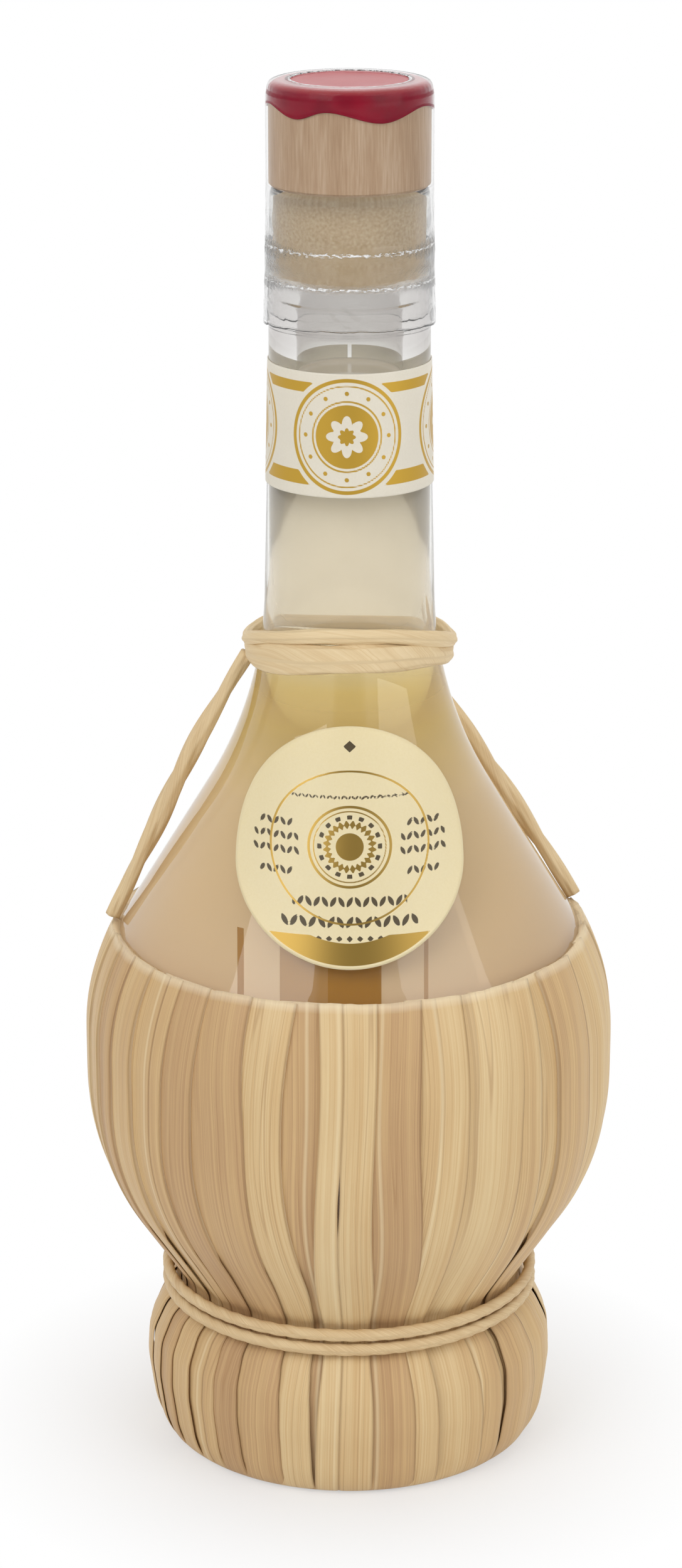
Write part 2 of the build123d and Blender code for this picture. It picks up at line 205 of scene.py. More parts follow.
def drift(places, seed, waves=4):
    """A smooth random line in -1 to 1: a sum of sines of growing frequency and random phase."""
    random = np.random.default_rng(seed)
    phase, power = random.uniform(0, 2 * np.pi, waves), random.uniform(0.5, 1, waves)
    total = sum(power[wave] / (wave + 1) * np.sin((wave + 1) * places + phase[wave])
                for wave in range(waves))
    return total / (power / np.arange(1, waves + 1)).sum()


# Sizes, the same as the solids'

BELLY, UNDERSIDE, BELLY_SIDE = 49.4, 25.6, 8.6
SHOULDER, SLOPE = 44.0, np.radians(31.3)
THROAT, NECK, TAPER, NECK_TOP = 76.0, 15.0, np.radians(1.23), 216.0
COLLAR_BASE, COLLAR, COLLAR_STEP = 221.6, 15.5, 0.7
VALLEY, BEAD_BASE, BEAD_TOP, GROOVE = 15.05, 229.6, 235.4, 14.75
FLARE, FLARE_BASE, LIP, LIP_TOP, LIP_ROUND = 15.0, 236.6, 14.6, 247.2, 0.9
WALL, BORE, NECK_BORE, BORE_BASE, FILL = 4.0, 9.3, 9.8, 226.2, 212.5
MIDDLE = UNDERSIDE + BELLY
BELLY_TOP = MIDDLE + BELLY_SIDE
SHANK_BASE, SHANK_TOP = 229.8, LIP_TOP + 5
HEAD, HEAD_TOP, HEAD_ROUND = 14.85, 265.2, 1.4


def flask_wall(grow, throat, neck, lean):
    """Half outline of the flask from its lowest point to the top of the throat.

    A round bottom, an upright stretch, the shoulder's arc, a straight slope and the throat's
    hollow arc, all moved out by grow, which is less than 0 for the inside.
    """
    arc = SHOULDER + grow
    top = np.array([BELLY + grow - arc * (1 - np.cos(SLOPE)), BELLY_TOP + arc * np.sin(SLOPE)])
    fall = throat * (np.cos(lean) - np.cos(SLOPE))
    rise = throat * (np.sin(SLOPE) - np.sin(lean))
    reach = top[0] + np.tan(SLOPE) * top[1] - fall - neck - np.tan(lean) * (NECK_TOP - rise)
    low_height = reach / (np.tan(SLOPE) - np.tan(lean))
    low = np.array([top[0] - np.tan(SLOPE) * (low_height - top[1]), low_height])
    middle = low + throat * np.array([np.cos(SLOPE), np.sin(SLOPE)])
    return np.vstack([
        bow((0, MIDDLE), BELLY + grow, -90, 0, 56),
        bow((BELLY + grow - arc, BELLY_TOP), arc, 0, np.degrees(SLOPE), 28),
        bow(middle, throat, 180 + np.degrees(SLOPE), 180 + np.degrees(lean), 30),
    ])


OUTER_WALL = flask_wall(0, THROAT, NECK, TAPER)
OUTSIDE = np.vstack([OUTER_WALL, [NECK, NECK_TOP], [NECK, COLLAR_BASE]])


def wall_radius(height):
    """Outside radius of the glass at a height below its finish."""
    below = np.sqrt(np.maximum(BELLY ** 2 - (MIDDLE - np.minimum(height, MIDDLE)) ** 2, 0))
    return np.where(height < MIDDLE, below, np.interp(height, OUTSIDE[:, 1], OUTSIDE[:, 0]))


# Materials


def paint(shade):
    """Linear red, green, blue and alpha of an sRGB hex colour, or of a linear grey as a number."""
    if not isinstance(shade, str):
        return (shade, shade, shade, 1.0)
    channels = np.array([int(shade[place:place + 2], 16) for place in (0, 2, 4)]) / 255
    linear = np.where(channels <= 0.04045, channels / 12.92, ((channels + 0.055) / 1.055) ** 2.4)
    return (*linear.tolist(), 1.0)


def feed(node, values):
    """Sets inputs, by name or number. A socket or a node is linked, and a hex colour is painted."""
    for key, value in values.items():
        if isinstance(value, bpy.types.Node):
            value = next(output for output in value.outputs if output.enabled)
        if isinstance(value, bpy.types.NodeSocket):
            node.id_data.links.new(value, node.inputs[key])
        else:
            node.inputs[key].default_value = paint(value) if isinstance(value, str) else value


def add(tree, kind, *values, stops=(), **settings):
    """Adds a node. Its values come in the order of its inputs, or as one dict by name.

    A MapRange takes the value, from min, from max, to min and to max. stops are the places and
    shades of a colour ramp.
    """
    node = tree.nodes.new("ShaderNode" + kind)
    for key, value in settings.items():
        setattr(node, key, value)
    named = values and isinstance(values[0], dict)
    feed(node, values[0] if named else dict(enumerate(values)))
    if stops:
        elements = node.color_ramp.elements
        while len(elements) < len(stops):
            elements.new(1.0)
        for element, (place, shade) in zip(elements, stops):
            element.position, element.color = place, paint(shade)
    return node


def new_material(name, values):
    """A material with one principled shader, its plain values set on the shader's own sockets."""
    material = bpy.data.materials.new(name)
    material.use_nodes = True
    tree = material.node_tree
    tree.nodes.clear()
    shader = add(tree, "BsdfPrincipled", values)
    add(tree, "OutputMaterial", shader)
    return material, tree, shader


def clear_body(name, colour, index, roughness=0.0):
    """A clear solid that bends what is seen, and that lets the lamps light what is behind it."""
    material, tree, shader = new_material(name, {
        "Base Color": colour, "Roughness": roughness, "IOR": index, "Transmission Weight": 1.0})
    lamp = add(tree, "LightPath").outputs["Is Shadow Ray"]
    either = add(tree, "MixShader", lamp, shader, add(tree, "BsdfTransparent", paint(0.97)))
    feed(tree.nodes["Material Output"], {"Surface": either})
    return material, tree, shader


def stretched(tree, vector, across, along, other=1.0, detail=4.0, rough=0.6):
    """Noise whose grain is across wide and along long, both in the units of the vector."""
    scaled = add(tree, "VectorMath", vector, (1 / across, 1 / along, other), operation="MULTIPLY")
    return add(tree, "TexNoise", {"Vector": scaled, "Scale": 1.0, "Detail": detail, "Roughness": rough})


def soda_glass():
    """Blown soda glass: clear in the body, with grey painted shade in the back and sides of its empty neck.
    """
    material, tree, shader = clear_body("blown_soda_glass", paint(1.0), 1.5)
    place = add(tree, "SeparateXYZ", add(tree, "TexCoord").outputs["Object"]).outputs
    share = 1.0
    # The painted shade starts at the liquid's surface, grows from the front to the sides, ends at the cork
    for axis, start, end in (("Z", 0.212, 0.218), ("Y", -0.0125, -0.006), ("Z", 0.231, 0.2285)):
        part = add(tree, "MapRange", place[axis], start, end)
        share = add(tree, "Math", share, part, operation="MULTIPLY")
    painted_neck_shade = add(tree, "Mix", {"Factor": share, "A": "F9F9F6", "B": "C8C4C1"}, data_type="RGBA")
    feed(shader, {"Base Color": painted_neck_shade})
    return material


def gold_condiment():
    """Pale gold liquid: clear in the neck, half hazed in the throat, nearly opaque in the belly.

    Its milky part is painted light, standing in for the lit basket and surroundings seen through
    the liquid: palest in the neck, gold in the throat and straw coloured in the belly, where it
    takes on the colour of the basket. Just above the rim it shows amber stripes of painted shade,
    which stand for the gaps between strips at the back as the liquid bends them to the front.
    """
    material, tree, shader = clear_body("pale_gold_condiment", paint(1.0), 1.35)
    place = add(tree, "SeparateXYZ", add(tree, "TexCoord").outputs["Object"]).outputs
    share = add(tree, "MapRange", place["Z"], 0.1, FILL * MM)
    clear = add(tree, "ValToRGB", share, stops=(
        (0.3, 0.1), (0.41, 0.5), (0.47, 0.8), (0.54, 0.75),
        (0.68, 0.66), (0.8, 0.5), (0.93, 0.38), (1.0, 0.22)))
    # Painted light: the colours that the lit basket and surroundings give the liquid, by height
    painted_light_colour = add(tree, "ValToRGB", share, stops=(
        (0.0, "F4D4A8"), (0.284, "F7D8A0"), (0.4125, "FFDF82"), (0.484, "FFE498"), (0.54, "F6EAD2")))
    # Painted shade: amber stripes for the shaded gaps between strips at the back
    across = add(tree, "MapRange", place["X"], -0.025, 0.025)
    stripes = add(tree, "ValToRGB", across, stops=(
        (0.0, 0), (0.096, 1), (0.118, 0), (0.25, 0.8), (0.42, 1), (0.61, 0), (0.764, 0.8), (0.778, 0)))
    stripes.color_ramp.interpolation = "CONSTANT"
    # Only low down, and only on the front half
    for axis, end in (("Z", 0.113), ("Y", 0.0)):
        inside = add(tree, "Math", place[axis], end, operation="LESS_THAN")
        stripes = add(tree, "Math", stripes, inside, operation="MULTIPLY")
    colour = add(tree, "Mix", {"Factor": stripes, "A": painted_light_colour, "B": "BC8420"}, data_type="RGBA")
    feed(shader, {"Base Color": colour, "Transmission Weight": clear})
    depth = add(tree, "VolumeAbsorption", {"Color": "F7DFA6", "Density": 3.0})
    feed(tree.nodes["Material Output"], {"Volume": depth})
    return material


def fine_cork():
    """Pressed cork of fine grains, 0.5 to 1 mm: mottled tan, matt."""
    material, tree, shader = new_material("pressed_fine_cork", {
        "Roughness": 0.75, "Specular IOR Level": 0.2})
    place = add(tree, "TexCoord").outputs["Object"]
    grains = add(tree, "TexNoise", {"Vector": place, "Scale": 1 / (0.55 * MM), "Detail": 4.0})
    colour = add(tree, "ValToRGB", grains, stops=((0.3, "D0AE80"), (0.5, "DEC196"), (0.7, "E8D2AA")))
    feed(shader, {"Base Color": colour})
    return material


def turned_beech():
    """Beech turned on a lathe and left plain: upright fibres in soft bands, satin."""
    material, tree, shader = new_material("turned_beech", {
        "Roughness": 0.55, "Specular IOR Level": 0.3})
    place = add(tree, "TexCoord").outputs["Object"]
    # The fibres are a third of a millimetre wide, and the bands nearly four
    fibres = stretched(tree, place, MM / 3, MM / 3, 150.0)
    bands = stretched(tree, place, MM / 0.26, MM / 0.26, 40.0, detail=3.0, rough=0.5)
    mixed = add(tree, "Math", fibres, 0.55, 0.0, operation="MULTIPLY_ADD")
    mixed = add(tree, "Math", bands, 0.45, mixed, operation="MULTIPLY_ADD")
    colour = add(tree, "ValToRGB", mixed, stops=((0.3, "AE8D6D"), (0.5, "C0A182"), (0.68, "D3B99D")))
    bump = add(tree, "Bump", {"Height": fibres, "Strength": 0.3, "Distance": 0.05 * MM})
    feed(shader, {"Base Color": colour, "Normal": bump})
    return material


def sealing_wax():
    """Dipped sealing wax: opaque crimson, glossy, faintly rippled, with a paler top that is painted
    reflection.
    """
    material, tree, shader = new_material("dipped_sealing_wax", {
        "Roughness": 0.25, "Specular IOR Level": 0.1})
    place = add(tree, "TexCoord").outputs["Object"]
    cloud = add(tree, "TexNoise", {"Vector": place, "Scale": 1 / (4 * MM), "Detail": 4.0})
    crimson = add(tree, "ValToRGB", cloud, stops=((0.3, "820824"), (0.7, "98122C")))
    height = add(tree, "SeparateXYZ", place).outputs["Z"]
    # Painted reflection: the wax turns paler towards its top
    painted_top_reflection = add(tree, "MapRange", height, HEAD_TOP * MM, 0.266, 0.0, 0.75)
    colour = add(tree, "Mix", {"Factor": painted_top_reflection, "A": crimson, "B": "BC5354"}, data_type="RGBA")
    bump = add(tree, "Bump", {"Height": cloud, "Strength": 0.4, "Distance": 0.2 * MM})
    feed(shader, {"Base Color": colour, "Normal": bump})
    return material


def shrink_film(name, index):
    """Clear glossy film. Where it bridges a groove, and round its torn hole on top, it puckers, and
    small white flecks there are painted highlights.
    """
    material, tree, shader = clear_body(name, "FAFAFA", index, 0.04)
    place = add(tree, "TexCoord").outputs["Object"]
    crumple = stretched(tree, place, 0.8 * MM, 0.8 * MM, 1 / (0.35 * MM), detail=3.0)
    parts = add(tree, "SeparateXYZ", place).outputs
    height = add(tree, "MapRange", parts["Z"], 0.22, 0.25)
    grooves = add(tree, "ValToRGB", height, stops=(
        (0.0, 0), (0.3, 0), (0.35, 1), (0.39, 0.1), (0.44, 0.4), (0.5, 0.1), (0.56, 1), (0.61, 0)))
    flat = add(tree, "CombineXYZ", parts["X"], parts["Y"])
    radius = add(tree, "VectorMath", flat, operation="LENGTH")
    torn = add(tree, "MapRange", radius, 0.0118, 0.0112)
    loose = add(tree, "Math", grooves, torn, operation="MAXIMUM")
    pucker = add(tree, "Math", crumple, loose, operation="MULTIPLY")
    bump = add(tree, "Bump", {"Height": pucker, "Strength": 1.0, "Distance": 0.4 * MM})
    # Painted highlights: where the puckers stand highest the film turns white
    clear = add(tree, "MapRange", pucker, 0.45, 0.56, 1.0, 0.2)
    feed(shader, {"Normal": bump, "Transmission Weight": clear})
    return material


def foil_print(name, paper, foil, ink):
    """Coated paper printed with hot foil: matt paper that some light gets through, mirror foil.

    The attributes foil and ink hold the distance, in millimetres, inside a printed edge.
    """
    material, tree, shader = new_material(name, {
        "Subsurface Weight": 0.5, "Subsurface Radius": (1.0, 1.0, 1.0), "Subsurface Scale": 0.5 * MM})
    place = add(tree, "TexCoord").outputs["Object"]
    masks = [add(tree, "TexNoise", {"Vector": place, "Scale": 1 / (0.4 * MM), "Detail": 3.0})]
    for line in ("ink", "foil"):
        inside = add(tree, "Attribute", attribute_name=line).outputs["Fac"]
        masks.append(add(tree, "Math", inside, 12.0, 0.5, operation="MULTIPLY_ADD", use_clamp=True))
    colour = paper[0]
    for mask, shade in zip(masks, (paper[1], ink, foil)):
        colour = add(tree, "Mix", {"Factor": mask, "A": colour, "B": shade}, data_type="RGBA")
    gilt = masks[-1]
    rough = add(tree, "MapRange", {"Value": gilt, "To Min": 0.5, "To Max": 0.36})
    bump = add(tree, "Bump", {"Height": gilt, "Strength": 0.25, "Distance": 0.03 * MM})
    feed(shader, {"Base Color": colour, "Metallic": gilt, "Roughness": rough, "Normal": bump})
    return material


def plant_fibre(name, shades, roughness, fibre, leaf=False):
    """Dried leaf, split and flattened: fine straight fibres, soft bands and a satin skin.

    The attribute weave holds millimetres across and along the piece, and a number of its own.
    The attribute tone, 0 to 1, says how dark the piece has dried. A leaf has the attributes
    inner, 1 on its pale inside, and marks: the distance to its midrib and to its nearer edge,
    both in millimetres. Its veins are brown. A cream painted highlight runs along its midrib
    and its fold, and a brown painted shade along its edges, where strips overlap. Its pale
    inside is partly its own colour and partly painted light for the dim inside of the basket.
    """
    material, tree, shader = new_material(name, {"Roughness": roughness, "Specular IOR Level": 0.3})
    weave = add(tree, "Attribute", attribute_name="weave").outputs["Vector"]
    mixed = add(tree, "Attribute", attribute_name="tone").outputs["Fac"]
    fibres = stretched(tree, weave, fibre, 120.0, 7.3, detail=3.0, rough=0.75)
    bands = stretched(tree, weave, 3.0, 160.0, 3.1, detail=2.0)
    stains = stretched(tree, weave, 8.0, 40.0, 5.7, detail=3.0)
    for source, power in ((bands, 0.55), (stains, 0.35), (fibres, 1.0)):
        mixed = add(tree, "Math", source, power, mixed, operation="MULTIPLY_ADD")
    # The three noises together have a mean of 0.95, so this leaves the piece its own tone
    mixed = add(tree, "Math", mixed, 0.95, operation="SUBTRACT")
    base = add(tree, "ValToRGB", mixed, stops=tuple(zip((0.0, 0.35, 0.65, 1.0), shades)))
    if leaf:
        veins = stretched(tree, weave, 4.2, 260.0, 9.1, detail=1.0)
        away = add(tree, "Math", veins, 0.5, operation="SUBTRACT")
        away = add(tree, "Math", away, operation="ABSOLUTE")
        marks = add(tree, "Attribute", attribute_name="marks").outputs["Vector"]
        marks = add(tree, "SeparateXYZ", marks).outputs
        rib = add(tree, "Math", marks["X"], operation="ABSOLUTE")
        # Veins are brown; the cream along the midrib is a painted highlight, and the brown along the edges
        # painted shade where strips overlap
        for line, start, end, power, shade in ((away, 0.002, 0.012, 0.4, "A67F56"),
                                               (rib, 0.1, 0.5, 0.4, "EFDDB4"),
                                               (marks["Y"], 0.1, 0.45, 0.36, "8F6B46")):
            share = add(tree, "MapRange", line, start, end, power, 0.0)
            base = add(tree, "Mix", {"Factor": share, "A": base, "B": shade}, data_type="RGBA")
        # Painted highlight on the fold at the rim, in the inside's pale colour, which is partly painted
        # light
        along = add(tree, "SeparateXYZ", weave).outputs["Y"]
        fold = add(tree, "MapRange", along, 0.7, 2.0, 0.45, 0.0)
        inner = add(tree, "Attribute", attribute_name="inner").outputs["Fac"]
        inner = add(tree, "Math", inner, fold, operation="MAXIMUM")
        base = add(tree, "Mix", {"Factor": inner, "A": base, "B": "EFE0C2"}, data_type="RGBA")
    height = add(tree, "Math", fibres, bands, operation="ADD")
    bump = add(tree, "Bump", {"Height": height, "Strength": 0.5, "Distance": 0.14 * MM})
    feed(shader, {"Base Color": base, "Normal": bump})
    return material


glass = soda_glass()
condiment = gold_condiment()
cork = fine_cork()
wax = sealing_wax()
# Over the glass the film mirrors; pressed on wood and wax it hardly does
film = shrink_film("clear_shrink_film", 1.4)
pressed_film = shrink_film("pressed_shrink_film", 1.18)
neck_print = foil_print("foil_printed_neck_paper", ("E9E1D0", "E2D9C6"), "BF9A40", "6A5A2A")
front_print = foil_print("foil_printed_cream_paper", ("EEDDB4", "E8D5A6"), "94793E", "4A3C20")
sedge = plant_fibre("dried_sedge", ("E0C799", "D1B07F", "BD996F", "A37D55"), 0.48, 0.35, leaf=True)
raffia = plant_fibre("twisted_raffia", ("EAD5AE", "E0C79C", "D0B286", "B8956A"), 0.5, 0.3)
straw = plant_fibre("bundled_straw", ("D9C08F", "C9AB78", "B89660", "9E7D50"), 0.6, 0.6)

for node, finish in (("stopper_head", turned_beech()), ("foot_core", straw)):
    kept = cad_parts[node].data.materials
    kept.clear()
    kept.append(finish)

# Glass, liquid and stopper

FINISH_FOOT = NECK_TOP - 6
finish_line = soften([
    (NECK, FINISH_FOOT), (NECK, COLLAR_BASE), (COLLAR, COLLAR_BASE + COLLAR_STEP),
    (VALLEY, BEAD_BASE), *bow((VALLEY - 10.2, (BEAD_BASE + BEAD_TOP) / 2), 10.4, -15, 15, 9)[1:-1],
    (GROOVE, BEAD_TOP), (FLARE, FLARE_BASE), (LIP, LIP_TOP - LIP_ROUND),
    (LIP - LIP_ROUND, LIP_TOP), (BORE + 0.6, LIP_TOP), (BORE, LIP_TOP - 0.6), (BORE, BORE_BASE),
    (NECK_BORE, BORE_BASE - 0.5), (NECK_BORE, FINISH_FOOT),
], 0.3, 0.3)
inner_wall = flask_wall(-WALL, THROAT + WALL, NECK_BORE, 0.0)
turned("flask", np.vstack([OUTER_WALL, finish_line, inner_wall[::-1]]), glass, "glass_flask", "glass")

OVERLAP = 0.08            # the liquid's skin lies this far inside the glass, so no air shows
CREEP = 0.9               # its surface climbs the glass by CREEP exp(-distance from it / CREEP)
wet_wall = flask_wall(OVERLAP - WALL, THROAT + WALL - OVERLAP, NECK_BORE + OVERLAP, 0.0)
inward = np.linspace(NECK_BORE + OVERLAP, 0, 24)
surface = np.stack([inward, FILL + CREEP * np.exp((inward - inward[0]) / CREEP)], -1)
turned("condiment", np.vstack([wet_wall, surface]), condiment, "liquid", "liquid")

PRESS = 0.04              # the cork is pressed this far into the bore, so no air shows
turned("cork_shank", [
    (0, SHANK_BASE), (BORE - 1.0, SHANK_BASE), (BORE + PRESS, SHANK_BASE + 1.0),
    (BORE + PRESS, LIP_TOP - 0.7), (BORE - 0.1, LIP_TOP - 0.1), (BORE - 0.1, SHANK_TOP),
    (0, SHANK_TOP)], cork, "stopper_shank", "cork", body="stopper")

# Height of the wax edge by angle: low at a drip, high between two
WAX_EDGE = ((-165, 262.5), (-135, 262.2), (-105, 260.9), (-71, 262.5), (-40, 260.7), (-16, 262.3),
            (23, 260.3), (60, 262.4), (98, 260.6), (130, 262.2), (160, 260.5), (195, 262.5))
WAX_FIT, WAX_SKIN, WAX_TOP, WAX_CORNER, WAX_BEAD = 0.03, 0.3, HEAD_TOP + 0.9, 2.2, 0.3
TIP = 0.02                # radius of the cap's ring next to each pole


def wax_cap():
    """A thin dipped cap. At each angle its section runs up inside, over the top and back.

    The lower edge follows WAX_EDGE, with a smooth step between its turning points, and ends in
    a round bead. The top has a low ring where the seal was pressed flat.
    """
    marks = np.array(WAX_EDGE)
    front = (np.degrees(AROUND) + 90 - marks[0, 0]) % 360 + marks[0, 0]
    after = np.clip(np.searchsorted(marks[:, 0], front), 1, len(marks) - 1)
    share = (front - marks[after - 1, 0]) / (marks[after, 0] - marks[after - 1, 0])
    edge = marks[after - 1, 1] + (marks[after, 1] - marks[after - 1, 1]) * smooth_step(share)
    seam = edge + WAX_BEAD
    parts = np.linspace(0, 1, 12)[1:-1]
    rows = [(TIP, HEAD_TOP + WAX_FIT),
            *bow((HEAD - HEAD_ROUND, HEAD_TOP - HEAD_ROUND), HEAD_ROUND + WAX_FIT, 90, 0, 7)]
    inside_low = rows[-1][1]
    rows += [(HEAD + WAX_FIT, inside_low + part * (seam - inside_low)) for part in parts]
    rows += [(HEAD + 0.24 + 0.21 * out, seam + WAX_BEAD * down) for out, down in bow((0, 0), 1, -180, 0, 7)]
    corner, side_top = HEAD + WAX_SKIN - WAX_CORNER, WAX_TOP - WAX_CORNER
    for part in parts:
        ripple = 0.025 * drift(3 * AROUND, 5) * np.sin(np.pi * part)
        swell = WAX_SKIN + 0.14 * (1 - part) ** 3 + ripple
        rows.append((HEAD + swell, seam + part * (side_top - seam)))
    across = np.linspace(corner, TIP, 26)
    plate = WAX_TOP - 0.1 * smooth_step((9.4 - across) / 3) + 0.08 * bell(across, 10.2, 1)
    for radius, height in [*bow((corner, side_top), WAX_CORNER, 0, 90, 9), *zip(across[1:], plate[1:])]:
        rows.append((radius, height + 0.06 * drift(2 * AROUND, 8) * smooth_step((radius - 3) / 6)))
    return np.stack([round_axis(radius, AROUND, height) for radius, height in rows])


cap = wax_cap()
ring_piece("wax_cap", cap, wax, "wax_seal", "wax", body="stopper",
           poles=((0, 0, HEAD_TOP + WAX_FIT), (0, 0, cap[-1, 0, 2])))

# Radius and height of the line that the film is shrunk to: up the finish, the wood and the wax
FILM_LINE = ((15.62, 221.2), (15.62, 224.6), (15.36, 229.6), (15.36, 235.4), (15.2, 236.6),
             (15.2, 263.6), (14.7, 265.9), (13.6, 266.3), (10.7, 266.3))
FILM_SKIN = 0.12
ON_WOOD = 247.5           # above this height the film is pressed on wood and wax


def film_skin():
    """A closed thin shell. Its radius is FILM_LINE's, plus wrinkles that only stand out.

    Wrinkles are products of sines that are short round the piece and long along it, strongest
    over the glass finish and faint over the wood. Its lower edge is ragged, and lower behind.
    """
    line = soften(FILM_LINE, 0.55, 0.35)
    angle = np.linspace(0, 2 * np.pi, 260, endpoint=False)
    reach, height = line[:, :1], line[:, 1:]
    low = smooth_step((249 - height) / 6)
    wrinkle = (np.sin(23 * angle + 0.35 * height + 2 * np.sin(0.5 * height))
               * np.sin(0.9 * height + 3 * np.sin(3 * angle)))
    crumple = np.sin(57 * angle + 1.7 * height) * np.sin(2.4 * height + 5 * np.sin(2 * angle))
    grooves = bell(height, 237, 2.2) + 0.7 * bell(height, 229.5, 1.6)
    ring = 0.04 * bell(height, 265.3, 0.6)
    stand = 0.03 + low * (0.06 * (1 + wrinkle) + 0.08 * grooves * (1 + crumple)) + ring * (1 + crumple)
    top = smooth_step((reach - 9) / 5)
    torn = 0.2 * drift(9 * angle, 21, 9) * smooth_step((11.6 - reach) / 0.9) * (height > 260)
    outer = reach + FILM_SKIN + stand * top + torn
    inner = reach + stand * top + torn
    lift = FILM_SKIN * (1 - smooth_step((266.2 - height) / 1.2)) * (1 - top * 0.4)
    ragged = 0.6 - 1.1 * np.sin(angle) + 0.2 * drift(14 * angle, 33, 9)
    height = height + smooth_step((224.6 - height) / 3.4) * ragged
    return np.concatenate([round_axis(outer, angle, height + lift),
                           round_axis(inner, angle, height)[::-1]])


sleeve = ring_piece("film_sleeve", film_skin(), film, "shrink_sleeve", "film", body="stopper",
                    wrap_rows=True)
sleeve.data.materials.append(pressed_film)
centres = np.empty(3 * len(sleeve.data.polygons))
sleeve.data.polygons.foreach_get("center", centres)
sleeve.data.polygons.foreach_set("material_index", (centres[2::3] > ON_WOOD * MM).astype(int))

# Labels

PAPER_INSIDE, PAPER_OUTSIDE = 0.05, 0.2     # a label's two sides, from the glass
BARE = -1.0                                 # a distance that no foil and no ink reaches
BAND_BASE, BAND_TOP, BAND_END = 192.2, 215.2, 178.1
BAND_RADIUS, MEDALLION_HEIGHT = 15.6, 203.6
MEDALLIONS = (-2.0, 95.0, -99.0, 178.0, -182.0)     # the last two are the one on the seam
EGG_HALF_WIDTH, EGG_WIDEST, EGG_RISE, EGG_DROP = 21.2, 125.5, 24.3, 15.7
PRINT_MIDDLE = 129.5


def ring_line(distance, radius, width):
    """How far a point lies inside a ring of a width, from its distance to the centre."""
    return width / 2 - np.abs(distance - radius)


def leaf_row(across, up, row, reach, size):
    """How far a point lies inside a row of leaves that lean to one side and the other in turn.

    Each leaf is as long as size and fills its own cell, which is 0.66 size wide. A leaf's half
    width falls from 0.19 size as 1 - (place along it / half its length) squared.
    """
    pitch = 0.66 * size
    cell = np.round(across / pitch)
    lean = np.where(cell % 2 == 0, 1, -1) * np.radians(62)
    local, above = across - cell * pitch, up - row
    along = local * np.cos(lean) + above * np.sin(lean)
    aside = above * np.cos(lean) - local * np.sin(lean)
    blade = 0.19 * size * (1 - (2 * along / size) ** 2) - np.abs(aside)
    return np.minimum(blade, reach - np.abs(across))


def lozenge(across, up, reach):
    """How far a point lies inside a lozenge, by |across| + |up|."""
    return reach - np.abs(across) - np.abs(up)


def rosette(across, up, radius, petals):
    """How far a point lies inside a rosette, whose edge at angle a lies at the radius times
    0.62 + 0.38 |cos(petals a / 2)|.
    """
    angle = np.arctan2(up, across)
    return radius * (0.62 + 0.38 * np.abs(np.cos(petals * angle / 2))) - np.hypot(across, up)


def neck_band():
    """Paper wrapped round the neck, from seam to seam, with its print as distances.

    Foil: two stripes, and medallions of rings and dots round a disc that leaves bare a rosette.
    """
    steps, levels = 340, 78
    angle = np.radians(np.linspace(-BAND_END, BAND_END, steps))[::-1, None]
    up = np.linspace(BAND_BASE, BAND_TOP, levels)
    height = np.concatenate([up, up[::-1]])
    sides = np.repeat([PAPER_OUTSIDE, PAPER_INSIDE], levels)
    grid = round_axis(wall_radius(height) + sides, angle - np.pi / 2, height)
    apart = angle - np.radians(MEDALLIONS)
    nearest = apart[np.arange(steps), np.abs(apart).argmin(1)]
    across = nearest[:, None] * BAND_RADIUS + 0 * height
    above = height - MEDALLION_HEIGHT + 0 * across
    distance = np.hypot(across, above)
    rings = [ring_line(distance, *ring) for ring in ((10.4, 0.7), (9.35, 0.3), (6.5, 0.35))]
    star, inner_star = (rosette(across, above, radius, 8) for radius in (3.9, 1.7))
    disc = np.maximum(np.minimum(5.9 - distance, -star), inner_star)
    spots = [(8 * np.cos(turn), 8 * np.sin(turn)) for turn in np.radians(np.arange(0, 360, 30))]
    dots = [0.42 - np.hypot(across - x, above - z) for x, z in spots]
    stripes = np.maximum(0.95 - np.abs(height - 212.4), 1.3 - np.abs(height - 195.6)) + 0 * across
    stripes = np.minimum(stripes, distance - 11.6)
    foil = np.max([*rings, disc, stripes, *dots], 0)
    return grid, {"foil": np.where(sides == PAPER_OUTSIDE, foil, BARE), "ink": np.full_like(foil, BARE)}


tube_piece("neck_band", [neck_band()], neck_print, "neck_label", "label_paper")


